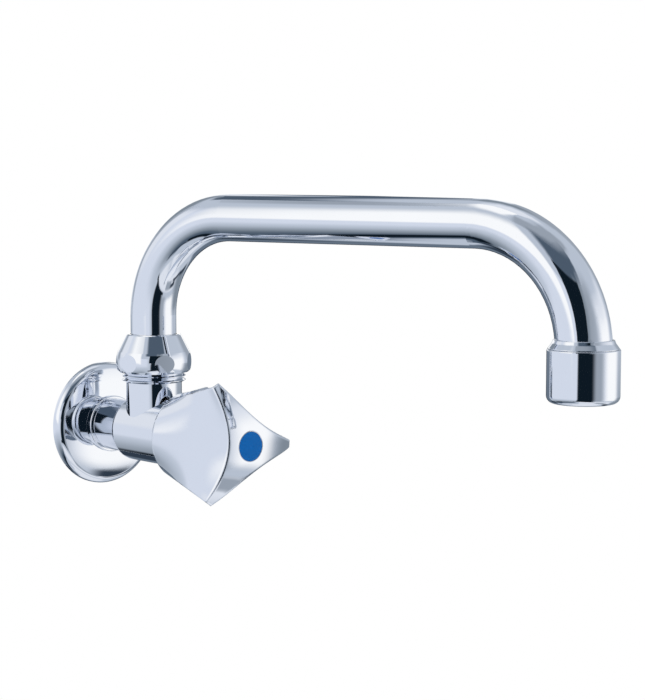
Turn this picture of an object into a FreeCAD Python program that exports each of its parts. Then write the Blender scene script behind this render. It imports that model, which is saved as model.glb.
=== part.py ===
import FreeCAD, Part
import math
import os
import re

import Sketcher

# Wall faucet: a single cold valve on the wall, with a swivelling bent-tube spout.
# Frame: origin on the inlet axis in the plane of the wall, +Z up, the faucet stands out along -Y.
# Lengths are millimetres, angles are degrees.

SIZES = {
    # overall layout
    "wall_to_riser": 36.0,
    "run_height": 89.6,
    "reach": 200.0,
    "spout_swing": 12.4,
    # fits
    "running_gap": 0.05,
    "seal_gap": 0.02,
    "seat_gap": 0.02,
    # inlet and cast body, distances measured out from the wall
    "inlet_thread_size": 20.955,
    "inlet_thread_length": 15.0,
    "inlet_thread_front": 1.5,
    "inlet_chamfer": 1.2,
    "inlet_bore": 13.0,
    "stub_diameter": 22.0,
    "branch_diameter": 26.8,
    "branch_back": 22.6,
    "branch_front": 60.0,
    "branch_round": 2.6,
    "branch_lip": 0.5,
    "seat_place": 28.0,
    "seat_bore": 11.0,
    "seat_lip": 0.8,
    "seat_lip_width": 1.2,
    "chamber_bore": 19.6,
    "bonnet_thread_size": 20.9,
    "bonnet_thread_back": 48.0,
    # neck and its thread, heights measured from the valve axis
    "neck_diameter": 23.2,
    "neck_bore": 14.4,
    "socket_bore": 17.2,
    "socket_floor": 15.5,
    "neck_top": 30.3,
    "union_thread_size": 26.44,
    "thread_pitch": 1.814,
    "thread_depth": 1.16,
    "thread_flank": 0.375,
    "thread_flat": 0.125,
    "thread_start": 20.8,
    # wall flange and its gasket
    "flange_diameter": 52.4,
    "flange_edge": 0.8,
    "flange_round": 3.6,
    "flange_tilt": 10.5,
    "flange_height": 5.6,
    "flange_wall": 0.9,
    "flange_collar_width": 1.0,
    "flange_collar_height": 1.8,
    "flange_collar_round": 0.5,
    "flange_slip": 0.02,
    "gasket_inner": 34.0,
    "gasket_thickness": 1.8,
    "gasket_bevel": 0.5,
    # union nut
    "nut_bottom": 25.0,
    "nut_bottom_diameter": 30.4,
    "nut_bottom_round": 1.6,
    "nut_belly_diameter": 31.4,
    "nut_belly_height": 4.2,
    "nut_belly_radius": 12.0,
    "nut_cone_start": 8.6,
    "nut_cone_diameter": 29.7,
    "nut_height": 15.8,
    "nut_top_diameter": 22.8,
    "nut_top_chamfer": 0.4,
    "nut_thread_depth": 8.0,
    "nut_cavity_diameter": 24.0,
    "nut_throat_gap": 0.3,
    "nut_across_flats": 30.25,
    "nut_turn": 20.3,
    # spout socket pieces
    "washer_thickness": 1.0,
    "collar_diameter": 22.8,
    "collar_thickness": 2.85,
    "bearing_ring_thickness": 1.5,
    "bearing_ring_width": 2.0,
    "ring_slit_angle": 10.0,
    "spigot_bore": 12.0,
    "spigot_tip": 17.5,
    "spigot_register": 3.8,
    "ring_section": 1.46,
    "ring_groove_width": 1.8,
    "lower_ring_height": 21.4,
    "upper_ring_height": 25.9,
    # spout tube
    "tube_diameter": 19.0,
    "tube_wall": 1.0,
    "riser_bend": 40.9,
    "outlet_bend": 44.7,
    "outlet_tube_diameter": 20.8,
    "outlet_leg": 3.4,
    # outlet ferrule and aerator, heights measured from the valve axis
    "ferrule_lift": 0.7,
    "ferrule_height": 3.3,
    "ferrule_top_diameter": 22.0,
    "ferrule_knee_height": 2.0,
    "ferrule_knee_diameter": 23.0,
    "ferrule_shoulder_diameter": 25.9,
    "ferrule_flare": 0.34,
    "aerator_thread_size": 23.8,
    "aerator_thread_length": 8.3,
    "aerator_gap": 0.1,
    "housing_diameter": 26.5,
    "housing_height": 19.5,
    "housing_top_round": 0.4,
    "housing_bottom_round": 2.7,
    "housing_bore": 22.0,
    "housing_lip": 1.6,
    "housing_mouth": 20.4,
    "straightener_thickness": 1.8,
    "straightener_hole": 2.2,
    "straightener_pitch": 3.1,
    "core_height": 4.9,
    "core_plate": 1.3,
    "core_wall": 1.0,
    "core_hole": 1.2,
    "core_hole_circle": 12.0,
    "core_hole_count": 12,
    "core_clearance": 0.05,
    "screen_thickness": 0.3,
    "screen_spacing": 1.0,
    # bonnet
    "bonnet_skirt_back": 44.0,
    "bonnet_skirt_diameter": 19.0,
    "bonnet_neck_diameter": 19.2,
    "bonnet_seal_thickness": 1.0,
    "bonnet_seal_width": 2.6,
    "bonnet_collar": 5.0,
    "bonnet_across_flats": 22.0,
    "bonnet_nose": 6.0,
    "bonnet_nose_diameter": 15.2,
    "plunger_across_flats": 13.0,
    "guide_depth": 9.0,
    "thrust_bore": 15.2,
    "thrust_bore_depth": 4.5,
    # spindle
    "spindle_diameter": 9.9,
    "spindle_screw": 7.8,
    "spindle_shoulder": 14.6,
    "shoulder_thickness": 3.4,
    "thrust_washer": 0.6,
    "spindle_ring_section": 1.24,
    "spindle_groove": 1.6,
    "back_ring_place": 61.8,
    "front_ring_place": 65.8,
    "circlip_root": 8.2,
    "circlip_width": 2.2,
    "circlip_thickness": 0.8,
    "circlip_gap": 0.1,
    "circlip_angle": 300.0,
    "stem_end": 73.4,
    "spline_diameter": 8.0,
    "spline_depth": 0.45,
    "spline_land": 0.4,
    "spline_count": 20,
    "spindle_front": 82.0,
    "screw_hole_depth": 12.0,
    # plunger, jumper washer and its screw
    "valve_lift": 3.75,
    "plunger_front": 49.2,
    "plunger_floor": 36.2,
    "plunger_end_room": 0.5,
    "plunger_head_diameter": 15.0,
    "plunger_head": 3.0,
    "seat_washer_diameter": 13.4,
    "seat_washer_thickness": 3.2,
    "plunger_rim": 1.8,
    "washer_screw_size": 3.0,
    "washer_screw_length": 6.5,
    "washer_screw_head": 5.2,
    "washer_screw_head_height": 1.5,
    # handle, distances measured out from the wall
    "handle_back": 57.8,
    "handle_front": 98.6,
    "handle_back_radius": 18.2,
    "handle_tip_radius": 29.4,
    "handle_side_radius": 10.6,
    "handle_tip_width": 3.6,
    "handle_turn": -5.0,
    "handle_dome": 52.0,
    "handle_edge_round": 1.0,
    "handle_mouth": 28.6,
    "handle_mouth_depth": 9.7,
    "handle_throat": 21.2,
    "bush_back": 74.0,
    "bush_diameter": 18.6,
    "bush_web": 2.0,
    "handle_web": 2.5,
    "handle_well": 9.0,
    "handle_screw_size": 4.0,
    "handle_screw_length": 12.0,
    "handle_screw_head": 7.2,
    "handle_screw_head_height": 2.5,
    "screw_slot_width": 1.0,
    "screw_slot_depth": 1.1,
    "disc_diameter": 11.9,
    "disc_pocket_depth": 4.2,
    "disc_thickness": 1.6,
    "disc_edge_gap": 0.08,
    "disc_crown": 0.35,
    "disc_wall": 0.8,
}

# Places worked out from the sizes above, written as expressions.
SEAT_FLOOR = "(seat_place - seat_lip)"
COLLAR_BACK = "(branch_front + bonnet_seal_thickness)"
COLLAR_FRONT = f"({COLLAR_BACK} + bonnet_collar)"
NOSE_FRONT = f"({COLLAR_FRONT} + bonnet_nose)"
GUIDE_FRONT = "(bonnet_skirt_back + guide_depth)"
THRUST_FACE = f"({GUIDE_FRONT} + thrust_bore_depth)"
SPINDLE_BACK = "(plunger_floor + valve_lift + plunger_end_room)"
SHOULDER_FRONT = f"({THRUST_FACE} - thrust_washer - 2 * running_gap)"
CIRCLIP_BACK = f"({NOSE_FRONT} + circlip_gap)"
WASHER_BACK = "(seat_place + seat_gap)"
PLUNGER_CUP = f"({WASHER_BACK} + seat_washer_thickness)"
BUSH_FRONT = "(spindle_front + bush_web)"
SCREW_SEAT = f"({BUSH_FRONT} + handle_web)"
DISC_FLOOR = "(handle_front - disc_pocket_depth)"
NUT_TOP = "(nut_bottom + nut_height)"
COLLAR_BOTTOM = "(neck_top + washer_thickness + running_gap)"
COLLAR_TOP = f"({COLLAR_BOTTOM} + collar_thickness)"
NUT_SHOULDER = f"({COLLAR_TOP} + running_gap + bearing_ring_thickness)"
TUBE_OUTER = "(tube_diameter / 2)"
TUBE_INNER = "(tube_diameter / 2 - tube_wall)"
OUTLET_OUTER = "(outlet_tube_diameter / 2)"
OUTLET_INNER = "(outlet_tube_diameter / 2 - tube_wall)"
SPIGOT_OUTER = "(socket_bore / 2 - running_gap)"
SPIGOT_GROOVE = "(socket_bore / 2 - seal_gap - ring_section)"
SPINDLE_BORE = "(spindle_diameter / 2 + running_gap)"
SPINDLE_GROOVE = f"({SPINDLE_BORE} - seal_gap - spindle_ring_section)"
BEND_END = "(run_height - outlet_bend)"
TUBE_END = f"({BEND_END} - outlet_leg)"
FERRULE_BOTTOM = f"({BEND_END} - aerator_gap - aerator_thread_length)"
SHOULDER_FOOT = f"({BEND_END} + ferrule_lift)"
HOUSING_TOP = f"({SHOULDER_FOOT} - aerator_gap)"
HOUSING_BOTTOM = f"({HOUSING_TOP} - housing_height)"
LIP_TOP = f"({HOUSING_BOTTOM} + housing_lip)"
CORE_BOTTOM = f"({LIP_TOP} + straightener_thickness)"
CORE_TOP = f"({CORE_BOTTOM} + core_height)"
CORE_OUTER = "(housing_bore / 2 - core_clearance)"
PLATE_BOTTOM = f"({CORE_TOP} - core_plate)"
GUIDE_FLATS = "(plunger_across_flats + 2 * running_gap)"
HEX_CORNER = "/ 2 / cos(30 deg)"

doc = FreeCAD.newDocument("wall_faucet")
sheet = doc.addObject("Spreadsheet::Sheet", "Sizes")
for row, (word, number) in enumerate(SIZES.items(), start=1):
    sheet.set(f"A{row}", word)
    sheet.set(f"B{row}", str(number))
    sheet.setAlias(f"B{row}", word)
doc.recompute()

WORDS = re.compile(r"\b(" + "|".join(sorted(SIZES, key=len, reverse=True)) + r")\b")
pieces = []


def formula(text):
    """The expression with each size word pointed at the sheet."""
    return WORDS.sub(r"Sizes.\1", text)


def number_of(text):
    """The present value of an expression, as a plain number."""
    value = sheet.evalExpression(text)
    return float(getattr(value, "Value", value))


def bind(thing, prop, text):
    """Drive a property of an object by an expression."""
    thing.setExpression(prop, formula(text))


# ---------------------------------------------------------------- sketches

def corner(u, v):
    """A corner of an outline, reached by a straight line."""
    return (u, v, None, 0)


def arc_left(u, v, radius):
    """A corner reached by an arc that turns to the left."""
    return (u, v, radius, 1)


def arc_right(u, v, radius):
    """A corner reached by an arc that turns to the right."""
    return (u, v, radius, -1)


def arc_between(start, end, radius, turn):
    """The short arc of a radius from start to end, and whether it runs from end to start."""
    middle = (start + end) * 0.5
    along = end - start
    left = FreeCAD.Vector(-along.y, along.x, 0).normalize()
    rise = math.sqrt(max(radius ** 2 - (along.Length / 2) ** 2, 0))
    centre = middle + left * rise * turn
    if turn > 0:
        first, last = start - centre, end - centre
    else:
        first, last = end - centre, start - centre
    begin = math.atan2(first.y, first.x)
    finish = math.atan2(last.y, last.x)
    if finish < begin:
        finish += 2 * math.pi
    circle = Part.Circle(centre, FreeCAD.Vector(0, 0, 1), radius)
    return Part.ArcOfCircle(circle, begin, finish), turn < 0


def pin_point(sketch, geometry, end, u, v):
    """Hold one end of a sketch element at a place given by two expressions."""
    for kind, text in (("DistanceX", u), ("DistanceY", v)):
        held = Sketcher.Constraint(kind, -1, 1, geometry, end, number_of(text))
        index = sketch.addConstraint(held)
        bind(sketch, f"Constraints[{index}]", text)


def draw(sketch, outline):
    """Close an outline of lines and arcs, each corner held by its two expressions."""
    points = [FreeCAD.Vector(number_of(u), number_of(v), 0) for u, v, _, _ in outline]
    elements = []
    for index in range(len(outline)):
        after = (index + 1) % len(outline)
        radius, turn = outline[after][2:]
        if radius is None:
            curve, backwards = Part.LineSegment(points[index], points[after]), False
        else:
            curve, backwards = arc_between(points[index], points[after], number_of(radius), turn)
        geometry = sketch.addGeometry(curve)
        elements.append((geometry, 2, 1) if backwards else (geometry, 1, 2))
        if radius is not None:
            held = sketch.addConstraint(Sketcher.Constraint("Radius", geometry, number_of(radius)))
            bind(sketch, f"Constraints[{held}]", radius)
    for index, (geometry, start, _) in enumerate(elements):
        before, _, end = elements[index - 1]
        sketch.addConstraint(Sketcher.Constraint("Coincident", before, end, geometry, start))
        pin_point(sketch, geometry, start, outline[index][0], outline[index][1])


def circle_in(sketch, radius, u="0", v="0"):
    """A circle whose radius and centre are expressions."""
    centre = FreeCAD.Vector(number_of(u), number_of(v), 0)
    geometry = sketch.addGeometry(Part.Circle(centre, FreeCAD.Vector(0, 0, 1), number_of(radius)))
    held = sketch.addConstraint(Sketcher.Constraint("Radius", geometry, number_of(radius)))
    bind(sketch, f"Constraints[{held}]", radius)
    pin_point(sketch, geometry, 3, u, v)


def hexagon(across_flats, turn="0"):
    """Corners of a hexagon, its first flat facing the turn angle."""
    corners = []
    for step in range(6):
        angle = f"({60 * step + 30} deg + {turn} * 1 deg)"
        reach = f"{across_flats} {HEX_CORNER}"
        corners.append(corner(f"{reach} * cos{angle}", f"{reach} * sin{angle}"))
    return corners


def sketch_on(body, name, role, side="0", up="0", out="0"):
    """A sketch on one of the body's origin planes, shifted in the plane or out of it."""
    plane = [item for item in body.Origin.OriginFeatures if item.Role == role][0]
    sketch = body.newObject("Sketcher::SketchObject", f"{body.Name}_{name}")
    sketch.AttachmentSupport = [(plane, "")]
    sketch.MapMode = "FlatFace"
    bind(sketch, "AttachmentOffset.Base.x", side)
    bind(sketch, "AttachmentOffset.Base.y", up)
    bind(sketch, "AttachmentOffset.Base.z", out)
    return sketch


# ---------------------------------------------------------------- features

def new_body(label):
    """An empty body, kept as one piece of the faucet."""
    body = doc.addObject("PartDesign::Body", label)
    body.Label = label
    pieces.append(body)
    return body


def turn_profile(body, kind, name, outline, role="XZ_Plane", axis="V_Axis",
                 side="0", up="0", angle=None):
    """Revolve an outline about an axis of its sketch, to add or to cut."""
    sketch = sketch_on(body, f"{name}_outline", role, side, up)
    draw(sketch, outline)
    feature = body.newObject(f"PartDesign::{kind}", f"{body.Name}_{name}")
    feature.Profile = sketch
    feature.ReferenceAxis = (sketch, [axis])
    feature.Angle = 360
    if angle:
        bind(feature, "Angle", angle)
    return feature


def turned(label, outline, angle=None):
    """A body turned from one outline of (radius, distance along the axis)."""
    body = new_body(label)
    turn_profile(body, "Revolution", "turning", outline, angle=angle)
    return body


def extrude(body, kind, name, out, length, outlines=(), circles=(), backwards=False):
    """Pad or pocket a sketch that lies across the body's axis."""
    sketch = sketch_on(body, f"{name}_outline", "XY_Plane", out=out)
    for outline in outlines:
        draw(sketch, outline)
    for circle in circles:
        circle_in(sketch, *circle)
    doc.recompute()
    feature = body.newObject(f"PartDesign::{kind}", f"{body.Name}_{name}")
    feature.Profile = sketch
    bind(feature, "Length", length)
    feature.Reversed = backwards
    return feature


def pattern_round(body, features, name, count):
    """Repeat features in equal steps about the body's axis."""
    doc.recompute()
    pattern = body.newObject("PartDesign::PolarPattern", f"{body.Name}_{name}")
    pattern.Originals = features
    pattern.Axis = (features[0].Profile[0], ["N_Axis"])
    pattern.Angle = 360
    bind(pattern, "Occurrences", count)
    body.Tip = pattern
    return pattern


def group(label, members):
    """Several equal solids kept as one piece."""
    compound = doc.addObject("Part::Compound", label)
    compound.Label = label
    compound.Links = members
    pieces.append(compound)
    return compound


def seal_ring(name, centre_radius, section, place):
    """A round seal of circular section, a torus across the axis."""
    ring = doc.addObject("Part::Torus", name)
    bind(ring, "Radius1", centre_radius)
    bind(ring, "Radius2", f"{section} / 2")
    bind(ring, "Placement.Base.z", place)
    return ring


def on_valve_axis(piece):
    """Lay a piece along the valve axis, pointing out from the wall."""
    piece.Placement = FreeCAD.Placement(FreeCAD.Vector(), FreeCAD.Rotation(FreeCAD.Vector(1, 0, 0), 90))


def on_riser_axis(piece):
    """Stand a piece on the riser axis."""
    bind(piece, "Placement.Base.y", "0 - wall_to_riser")


def on_spout(piece):
    """Stand a piece on the riser axis, turned with the spout."""
    on_riser_axis(piece)
    bind(piece, "Placement.Rotation.Angle", "spout_swing")


def on_outlet(piece):
    """Stand a piece on the outlet axis, turned with the spout."""
    bind(piece, "Placement.Base.x", "reach * sin(spout_swing * 1 deg)")
    bind(piece, "Placement.Base.y", "0 - wall_to_riser - reach * cos(spout_swing * 1 deg)")
    bind(piece, "Placement.Rotation.Angle", "spout_swing")


# ---------------------------------------------------------------- cast body and flange

def threaded_neck_outline():
    """The neck from the valve axis up, with ring-shaped thread ridges on its upper part."""
    crest = "union_thread_size / 2"
    root = "(union_thread_size / 2 - thread_depth)"
    ridges = int((number_of("neck_top") - number_of("thread_start")) / number_of("thread_pitch"))
    neck = "neck_diameter / 2"
    outline = [corner("0", "0"), corner(neck, "0"), corner(neck, "thread_start")]
    for ridge in range(ridges):
        foot = f"thread_start + {ridge} * thread_pitch"
        outline.append(corner(root, foot))
        outline.append(corner(crest, f"{foot} + thread_pitch * thread_flank"))
        outline.append(corner(crest, f"{foot} + thread_pitch * (thread_flank + thread_flat)"))
        outline.append(corner(root, f"{foot} + thread_pitch * (2 * thread_flank + thread_flat)"))
    outline.append(corner(root, "neck_top"))
    outline.append(corner("0", "neck_top"))
    return outline


def make_valve_body():
    """One casting: threaded inlet, stub, branch with the valve seat, and the threaded neck."""
    body = new_body("valve_body")
    thread = "inlet_thread_size / 2"
    branch = "branch_diameter / 2"
    # distances out from the wall run along -Y, so they are written as minus a distance
    turn_profile(body, "Revolution", "barrel", [
        corner("inlet_thread_length", "0"),
        corner("inlet_thread_length", f"{thread} - inlet_chamfer"),
        corner("inlet_thread_length - inlet_chamfer", thread),
        corner("0 - inlet_thread_front", thread),
        corner("0 - inlet_thread_front", "stub_diameter / 2"),
        corner("0 - branch_back", "stub_diameter / 2"),
        corner("0 - branch_back", f"{branch} - branch_round"),
        arc_left("0 - branch_back - branch_round", branch, "branch_round"),
        corner("0 - branch_front + branch_lip", branch),
        corner("0 - branch_front", f"{branch} - branch_lip"),
        corner("0 - branch_front", "0"),
    ], role="YZ_Plane", axis="H_Axis")
    neck = threaded_neck_outline()
    turn_profile(body, "Revolution", "neck", neck, role="YZ_Plane", side="0 - wall_to_riser")
    turn_profile(body, "Groove", "waterway", [
        corner("inlet_thread_length + inlet_chamfer", "0"),
        corner("inlet_thread_length + inlet_chamfer", "inlet_bore / 2"),
        corner("0 - branch_back", "inlet_bore / 2"),
        corner("0 - branch_back", "seat_bore / 2"),
        corner("0 - seat_place", "seat_bore / 2"),
        corner("0 - seat_place", "seat_bore / 2 + seat_lip_width"),
        corner(f"0 - {SEAT_FLOOR}", "seat_bore / 2 + seat_lip_width"),
        corner(f"0 - {SEAT_FLOOR}", "chamber_bore / 2"),
        corner("0 - bonnet_thread_back", "chamber_bore / 2"),
        corner("0 - bonnet_thread_back", "bonnet_thread_size / 2"),
        corner("0 - branch_front - branch_lip", "bonnet_thread_size / 2"),
        corner("0 - branch_front - branch_lip", "0"),
    ], role="YZ_Plane", axis="H_Axis")
    turn_profile(body, "Groove", "neck_passage", [
        corner("0", "0"),
        corner("neck_bore / 2", "0"),
        corner("neck_bore / 2", "socket_floor"),
        corner("socket_bore / 2", "socket_floor"),
        corner("socket_bore / 2", "neck_top + thread_depth"),
        corner("0", "neck_top + thread_depth"),
    ], role="YZ_Plane", side="0 - wall_to_riser")


def flange_round_end(radius):
    """Where the rim's rounding of a given radius meets the dome, as distance out and height."""
    out = f"(flange_diameter / 2 - flange_round + ({radius}) * sin(flange_tilt * 1 deg))"
    height = f"(flange_edge + ({radius}) * cos(flange_tilt * 1 deg))"
    return out, height


def make_wall_flange():
    """Pressed cover plate: upright edge, rounded rim, a nearly flat dome and a collar round the stub."""
    rim = "flange_diameter / 2"
    bore = "(stub_diameter / 2 + flange_slip)"
    collar = f"({bore} + flange_collar_width)"
    collar_top = "(flange_height + flange_collar_height)"
    out, height = flange_round_end("flange_round")
    inner_out, inner_height = flange_round_end("flange_round - flange_wall")
    # the dome leaves the rim's rounding without a corner and ends at the collar's foot
    width = f"({out} - {collar})"
    rise = f"(flange_height - {height})"
    turn = f"(flange_tilt * 1 deg - atan({rise} / {width}))"
    dome = f"(sqrt({width} ^ 2 + {rise} ^ 2) / (2 * sin({turn})))"
    body = turned("wall_flange", [
        corner(f"{rim} - flange_wall", "0"),
        corner(rim, "0"),
        corner(rim, "flange_edge"),
        arc_left(out, height, "flange_round"),
        arc_left(collar, "flange_height", dome),
        corner(collar, f"{collar_top} - flange_collar_round"),
        arc_left(f"{collar} - flange_collar_round", collar_top, "flange_collar_round"),
        corner(bore, collar_top),
        corner(bore, "flange_height - flange_wall"),
        corner(collar, "flange_height - flange_wall"),
        arc_right(inner_out, inner_height, f"({dome} - flange_wall)"),
        arc_right(f"{rim} - flange_wall", "flange_edge", "(flange_round - flange_wall)"),
    ])
    on_valve_axis(body)


def make_flange_gasket():
    """Foam ring inside the flange's rim, pressed on the wall."""
    outer = "flange_diameter / 2 - flange_wall"
    body = turned("flange_gasket", [
        corner("gasket_inner / 2", "0"),
        corner(outer, "0"),
        corner(outer, "flange_edge"),
        corner(f"{outer} - gasket_bevel", "gasket_thickness"),
        corner("gasket_inner / 2", "gasket_thickness"),
    ])
    on_valve_axis(body)


# ---------------------------------------------------------------- union nut and spout socket

def make_union_nut():
    """Round-bellied nut with a conical top and six small flats for a wrench."""
    bottom = "nut_bottom_diameter / 2"
    thread = "union_thread_size / 2"
    cavity = "nut_cavity_diameter / 2"
    throat = f"({TUBE_OUTER} + nut_throat_gap)"
    top = "nut_top_diameter / 2"
    body = turned("union_nut", [
        corner(thread, "nut_bottom"),
        corner(f"{bottom} - nut_bottom_round / 2", "nut_bottom"),
        corner(bottom, "nut_bottom + nut_bottom_round / 2"),
        arc_left("nut_belly_diameter / 2", "nut_bottom + nut_belly_height", "nut_belly_radius"),
        arc_left("nut_cone_diameter / 2", "nut_bottom + nut_cone_start", "nut_belly_radius"),
        corner(top, f"{NUT_TOP} - nut_top_chamfer"),
        corner(f"{top} - nut_top_chamfer", NUT_TOP),
        corner(throat, NUT_TOP),
        corner(throat, NUT_SHOULDER),
        corner(cavity, NUT_SHOULDER),
        corner(cavity, "nut_bottom + nut_thread_depth"),
        corner(thread, "nut_bottom + nut_thread_depth"),
    ])
    doc.recompute()
    # first flat counted from the -Y side towards -X
    flats = hexagon("nut_across_flats", "(270 - nut_turn)")
    around = [("nut_belly_diameter",)]
    extrude(body, "Pocket", "flats", "nut_bottom", "nut_height", [flats], around, backwards=True)
    on_riser_axis(body)


def make_slide_washer():
    """Thin plastic washer between the neck and the spout's collar."""
    body = turned("slide_washer", [
        corner("socket_bore / 2", "neck_top"),
        corner("collar_diameter / 2", "neck_top"),
        corner("collar_diameter / 2", "neck_top + washer_thickness"),
        corner("socket_bore / 2", "neck_top + washer_thickness"),
    ])
    on_riser_axis(body)


def make_bearing_ring():
    """Split plastic ring that the nut presses down over the spout's collar."""
    inner = f"({TUBE_OUTER} + nut_throat_gap)"
    bottom = f"({COLLAR_TOP} + running_gap)"
    body = turned("bearing_ring", [
        corner(inner, bottom),
        corner(f"{inner} + bearing_ring_width", bottom),
        corner(f"{inner} + bearing_ring_width", NUT_SHOULDER),
        corner(inner, NUT_SHOULDER),
    ], angle="360 - ring_slit_angle")
    on_riser_axis(body)


def ring_groove(root, outer, place, width):
    """Corners of a square groove about a seal, from its lower to its upper side."""
    return [
        corner(outer, f"{place} - {width} / 2"),
        corner(root, f"{place} - {width} / 2"),
        corner(root, f"{place} + {width} / 2"),
        corner(outer, f"{place} + {width} / 2"),
    ]


def make_spout_spigot():
    """Turned end of the spout: two seal grooves, a collar, and a register inside the tube."""
    outline = [corner("spigot_bore / 2", "spigot_tip"), corner(SPIGOT_OUTER, "spigot_tip")]
    for place in ("lower_ring_height", "upper_ring_height"):
        outline += ring_groove(SPIGOT_GROOVE, SPIGOT_OUTER, place, "ring_groove_width")
    outline += [
        corner(SPIGOT_OUTER, COLLAR_BOTTOM),
        corner("collar_diameter / 2", COLLAR_BOTTOM),
        corner("collar_diameter / 2", COLLAR_TOP),
        corner(TUBE_INNER, COLLAR_TOP),
        corner(TUBE_INNER, f"{COLLAR_TOP} + spigot_register"),
        corner("spigot_bore / 2", f"{COLLAR_TOP} + spigot_register"),
    ]
    on_spout(turned("spout_spigot", outline))


def make_spigot_rings():
    """The two seals in the spigot's grooves."""
    centre = f"{SPIGOT_GROOVE} + ring_section / 2"
    rings = [seal_ring("spigot_ring_lower", centre, "ring_section", "lower_ring_height"),
             seal_ring("spigot_ring_upper", centre, "ring_section", "upper_ring_height")]
    on_spout(group("spigot_o_rings", rings))


def run_path(sketch):
    """Riser, riser bend and level run, in the plane of the spout."""
    foot = number_of(COLLAR_TOP)
    top = number_of("run_height")
    bend = number_of("riser_bend")
    far = number_of("reach - outlet_bend")
    up = Part.LineSegment(FreeCAD.Vector(0, foot, 0), FreeCAD.Vector(0, top - bend, 0))
    circle = Part.Circle(FreeCAD.Vector(-bend, top - bend, 0), FreeCAD.Vector(0, 0, 1), bend)
    over = Part.ArcOfCircle(circle, 0, math.pi / 2)
    along = Part.LineSegment(FreeCAD.Vector(-bend, top, 0), FreeCAD.Vector(-far, top, 0))
    for curve in (up, over, along):
        sketch.addGeometry(curve)
    sketch.addConstraint(Sketcher.Constraint("Coincident", 0, 2, 1, 1))
    sketch.addConstraint(Sketcher.Constraint("Coincident", 1, 2, 2, 1))
    pin_point(sketch, 0, 1, "0", COLLAR_TOP)
    pin_point(sketch, 0, 2, "0", "run_height - riser_bend")
    pin_point(sketch, 1, 2, "0 - riser_bend", "run_height")
    pin_point(sketch, 2, 2, "outlet_bend - reach", "run_height")
    held = sketch.addConstraint(Sketcher.Constraint("Radius", 1, bend))
    bind(sketch, f"Constraints[{held}]", "riser_bend")


def outlet_path(sketch):
    """Quarter bend from the level run down to the outlet."""
    bend = number_of("outlet_bend")
    centre = FreeCAD.Vector(number_of("outlet_bend - reach"), number_of(BEND_END), 0)
    circle = Part.Circle(centre, FreeCAD.Vector(0, 0, 1), bend)
    sketch.addGeometry(Part.ArcOfCircle(circle, math.pi / 2, math.pi))
    pin_point(sketch, 0, 1, "outlet_bend - reach", "run_height")
    pin_point(sketch, 0, 2, "0 - reach", BEND_END)
    held = sketch.addConstraint(Sketcher.Constraint("Radius", 0, bend))
    bind(sketch, f"Constraints[{held}]", "outlet_bend")


def sweep(body, kind, name, start, path, end=None):
    """Pipe a round section along a path, swelling to an end section where one is given."""
    pipe = body.newObject(f"PartDesign::{kind}", f"{body.Name}_{name}")
    pipe.Profile = start
    pipe.Spine = (path, [])
    if end:
        pipe.Sections = [(end, [""])]
        pipe.Transformation = "Multisection"
    doc.recompute()
    return pipe


def make_spout_tube():
    """Bent tube: riser, level run, and an outlet bend that swells to the outlet size."""
    body = new_body("spout_tube")
    long_path = sketch_on(body, "run_path", "YZ_Plane")
    run_path(long_path)
    bend_path = sketch_on(body, "outlet_path", "YZ_Plane")
    outlet_path(bend_path)
    sections = {}
    for name, near, far in (("outer", TUBE_OUTER, OUTLET_OUTER), ("inner", TUBE_INNER, OUTLET_INNER)):
        foot = sketch_on(body, f"{name}_foot", "XY_Plane", out=COLLAR_TOP)
        circle_in(foot, near)
        middle = sketch_on(body, f"{name}_middle", "XZ_Plane", out="reach - outlet_bend")
        circle_in(middle, near, v="run_height")
        end = sketch_on(body, f"{name}_end", "XY_Plane", out=BEND_END)
        circle_in(end, far, v="0 - reach")
        sections[name] = (foot, middle, end)
    doc.recompute()
    foot, middle, end = sections["outer"]
    sweep(body, "AdditivePipe", "run", foot, long_path)
    sweep(body, "AdditivePipe", "bend", middle, bend_path, end)
    leg = [(OUTLET_OUTER, "0", "0 - reach")]
    extrude(body, "Pad", "leg", BEND_END, "outlet_leg", circles=leg, backwards=True)
    doc.recompute()
    foot, middle, end = sections["inner"]
    sweep(body, "SubtractivePipe", "run_bore", foot, long_path)
    sweep(body, "SubtractivePipe", "bend_bore", middle, bend_path, end)
    leg = [(OUTLET_INNER, "0", "0 - reach")]
    extrude(body, "Pocket", "leg_bore", BEND_END, "outlet_leg", circles=leg)
    on_spout(body)


# ---------------------------------------------------------------- outlet

def make_outlet_ferrule():
    """Ring brazed on the tube's end: a sloping shoulder above, the aerator's thread below."""
    thread = "aerator_thread_size / 2"
    flare = f"({OUTLET_OUTER} + ferrule_flare)"
    top = f"({SHOULDER_FOOT} + ferrule_height)"
    on_outlet(turned("outlet_ferrule", [
        corner(OUTLET_INNER, FERRULE_BOTTOM),
        corner(thread, FERRULE_BOTTOM),
        corner(thread, SHOULDER_FOOT),
        corner("ferrule_shoulder_diameter / 2", SHOULDER_FOOT),
        corner("ferrule_knee_diameter / 2", f"{SHOULDER_FOOT} + ferrule_knee_height"),
        corner("ferrule_top_diameter / 2", top),
        corner(flare, top),
        corner(OUTLET_OUTER, BEND_END),
        corner(OUTLET_OUTER, TUBE_END),
        corner(OUTLET_INNER, TUBE_END),
    ]))


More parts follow.
